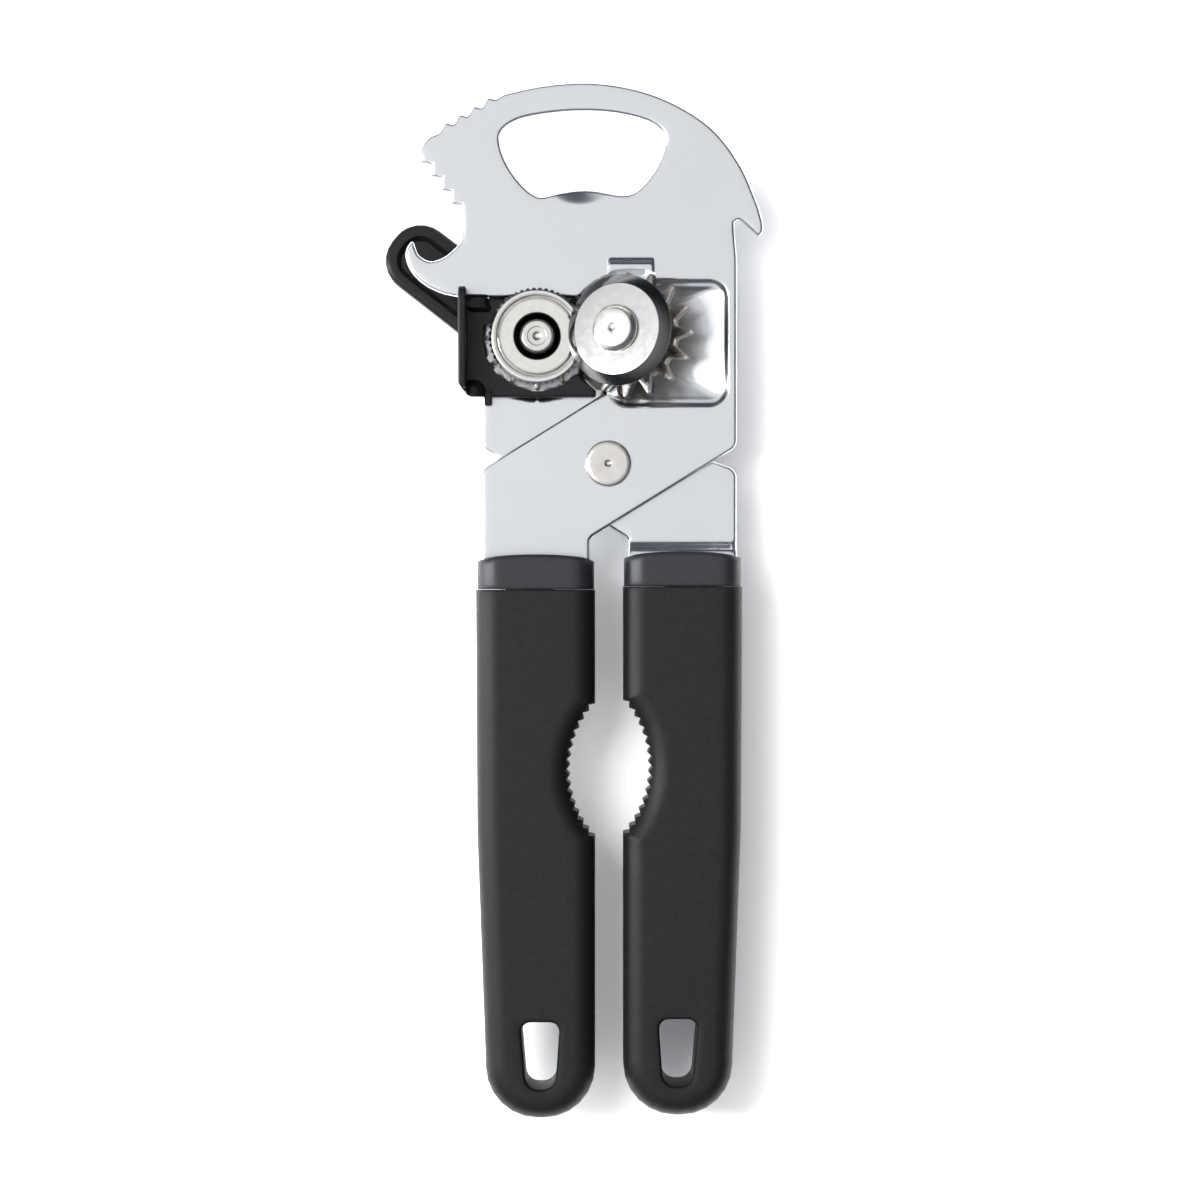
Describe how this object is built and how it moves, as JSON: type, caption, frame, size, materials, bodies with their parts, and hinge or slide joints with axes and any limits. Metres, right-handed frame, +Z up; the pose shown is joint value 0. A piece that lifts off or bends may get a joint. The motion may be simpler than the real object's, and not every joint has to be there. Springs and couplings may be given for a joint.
{
  "type": "manual can opener",
  "caption": "Hand-held can opener: two pivoting steel levers with moulded handles, tilted cutting wheel, serrated feed wheel, rear wing key and a head with bottle opener, hook and saw teeth.",
  "frame": {"origin": "under the middle of the closed opener's box, on the surface that it lies on, wing key down", "axes": "+Y along the handles towards the head, +Z up from the wing key to the cutting wheel, +X to the right seen from above"},
  "size_m": [0.074, 0.2006, 0.0311],
  "materials": {
    "pressed_steel": "satin",
    "nickel": "bright nickel plate",
    "cutter_steel": "polished",
    "rivet_steel": "turned",
    "grip_plastic": "fine moulded texture",
    "collar_plastic": "satin moulded",
    "guide_plastic": "satin moulded"
  },
  "bodies": {
    "front_lever": {"front_plate": "pressed_steel", "left_handle": "grip_plastic", "left_collar": "collar_plastic", "pivot_rivet": "rivet_steel", "pivot_washer": "nickel", "cutter_rivet": "rivet_steel", "cutter_bush": "nickel", "cutter_washer": "nickel"},
    "cutter": {"cutter_wheel": "cutter_steel", "cutter_sleeve": "nickel", "cutter_gear": "nickel", "thrust_washer": "nickel"},
    "back_lever": {"back_plate": "pressed_steel", "right_handle": "grip_plastic", "right_collar": "collar_plastic", "rim_guide": "guide_plastic", "feed_bush": "nickel", "guide_pin_1": "nickel", "guide_pin_2": "nickel"},
    "crank": {"feed_shaft": "rivet_steel", "feed_wheel": "nickel", "feed_gear": "nickel", "feed_spacer": "nickel", "wave_washer": "nickel", "crank_spacer": "nickel", "crank_key": "guide_plastic", "crank_insert": "nickel", "crank_cap": "collar_plastic"}
  },
  "joints": [
    {"name": "handle_pivot", "type": "hinge", "parent": "front_lever", "child": "back_lever", "pos_m": [0.00692, 0.0263, 0.0165], "axis": [0, 0, 1], "range_deg": [0, 26]},
    {"name": "crank_spin", "type": "hinge", "parent": "back_lever", "child": "crank", "pos_m": [-0.00688, 0.0509, 0.0165], "axis": [0, 0, 1], "continuous": true},
    {"name": "cutter_spin", "type": "hinge", "parent": "front_lever", "child": "cutter", "pos_m": [0.01192, 0.0511, 0.0196], "axis": [-0.4056, 0.0862, 0.91], "continuous": true}
  ],
  "couplings": [
    {"joint": "cutter_spin", "follows": "crank_spin", "ratio": -0.8}
  ]
}
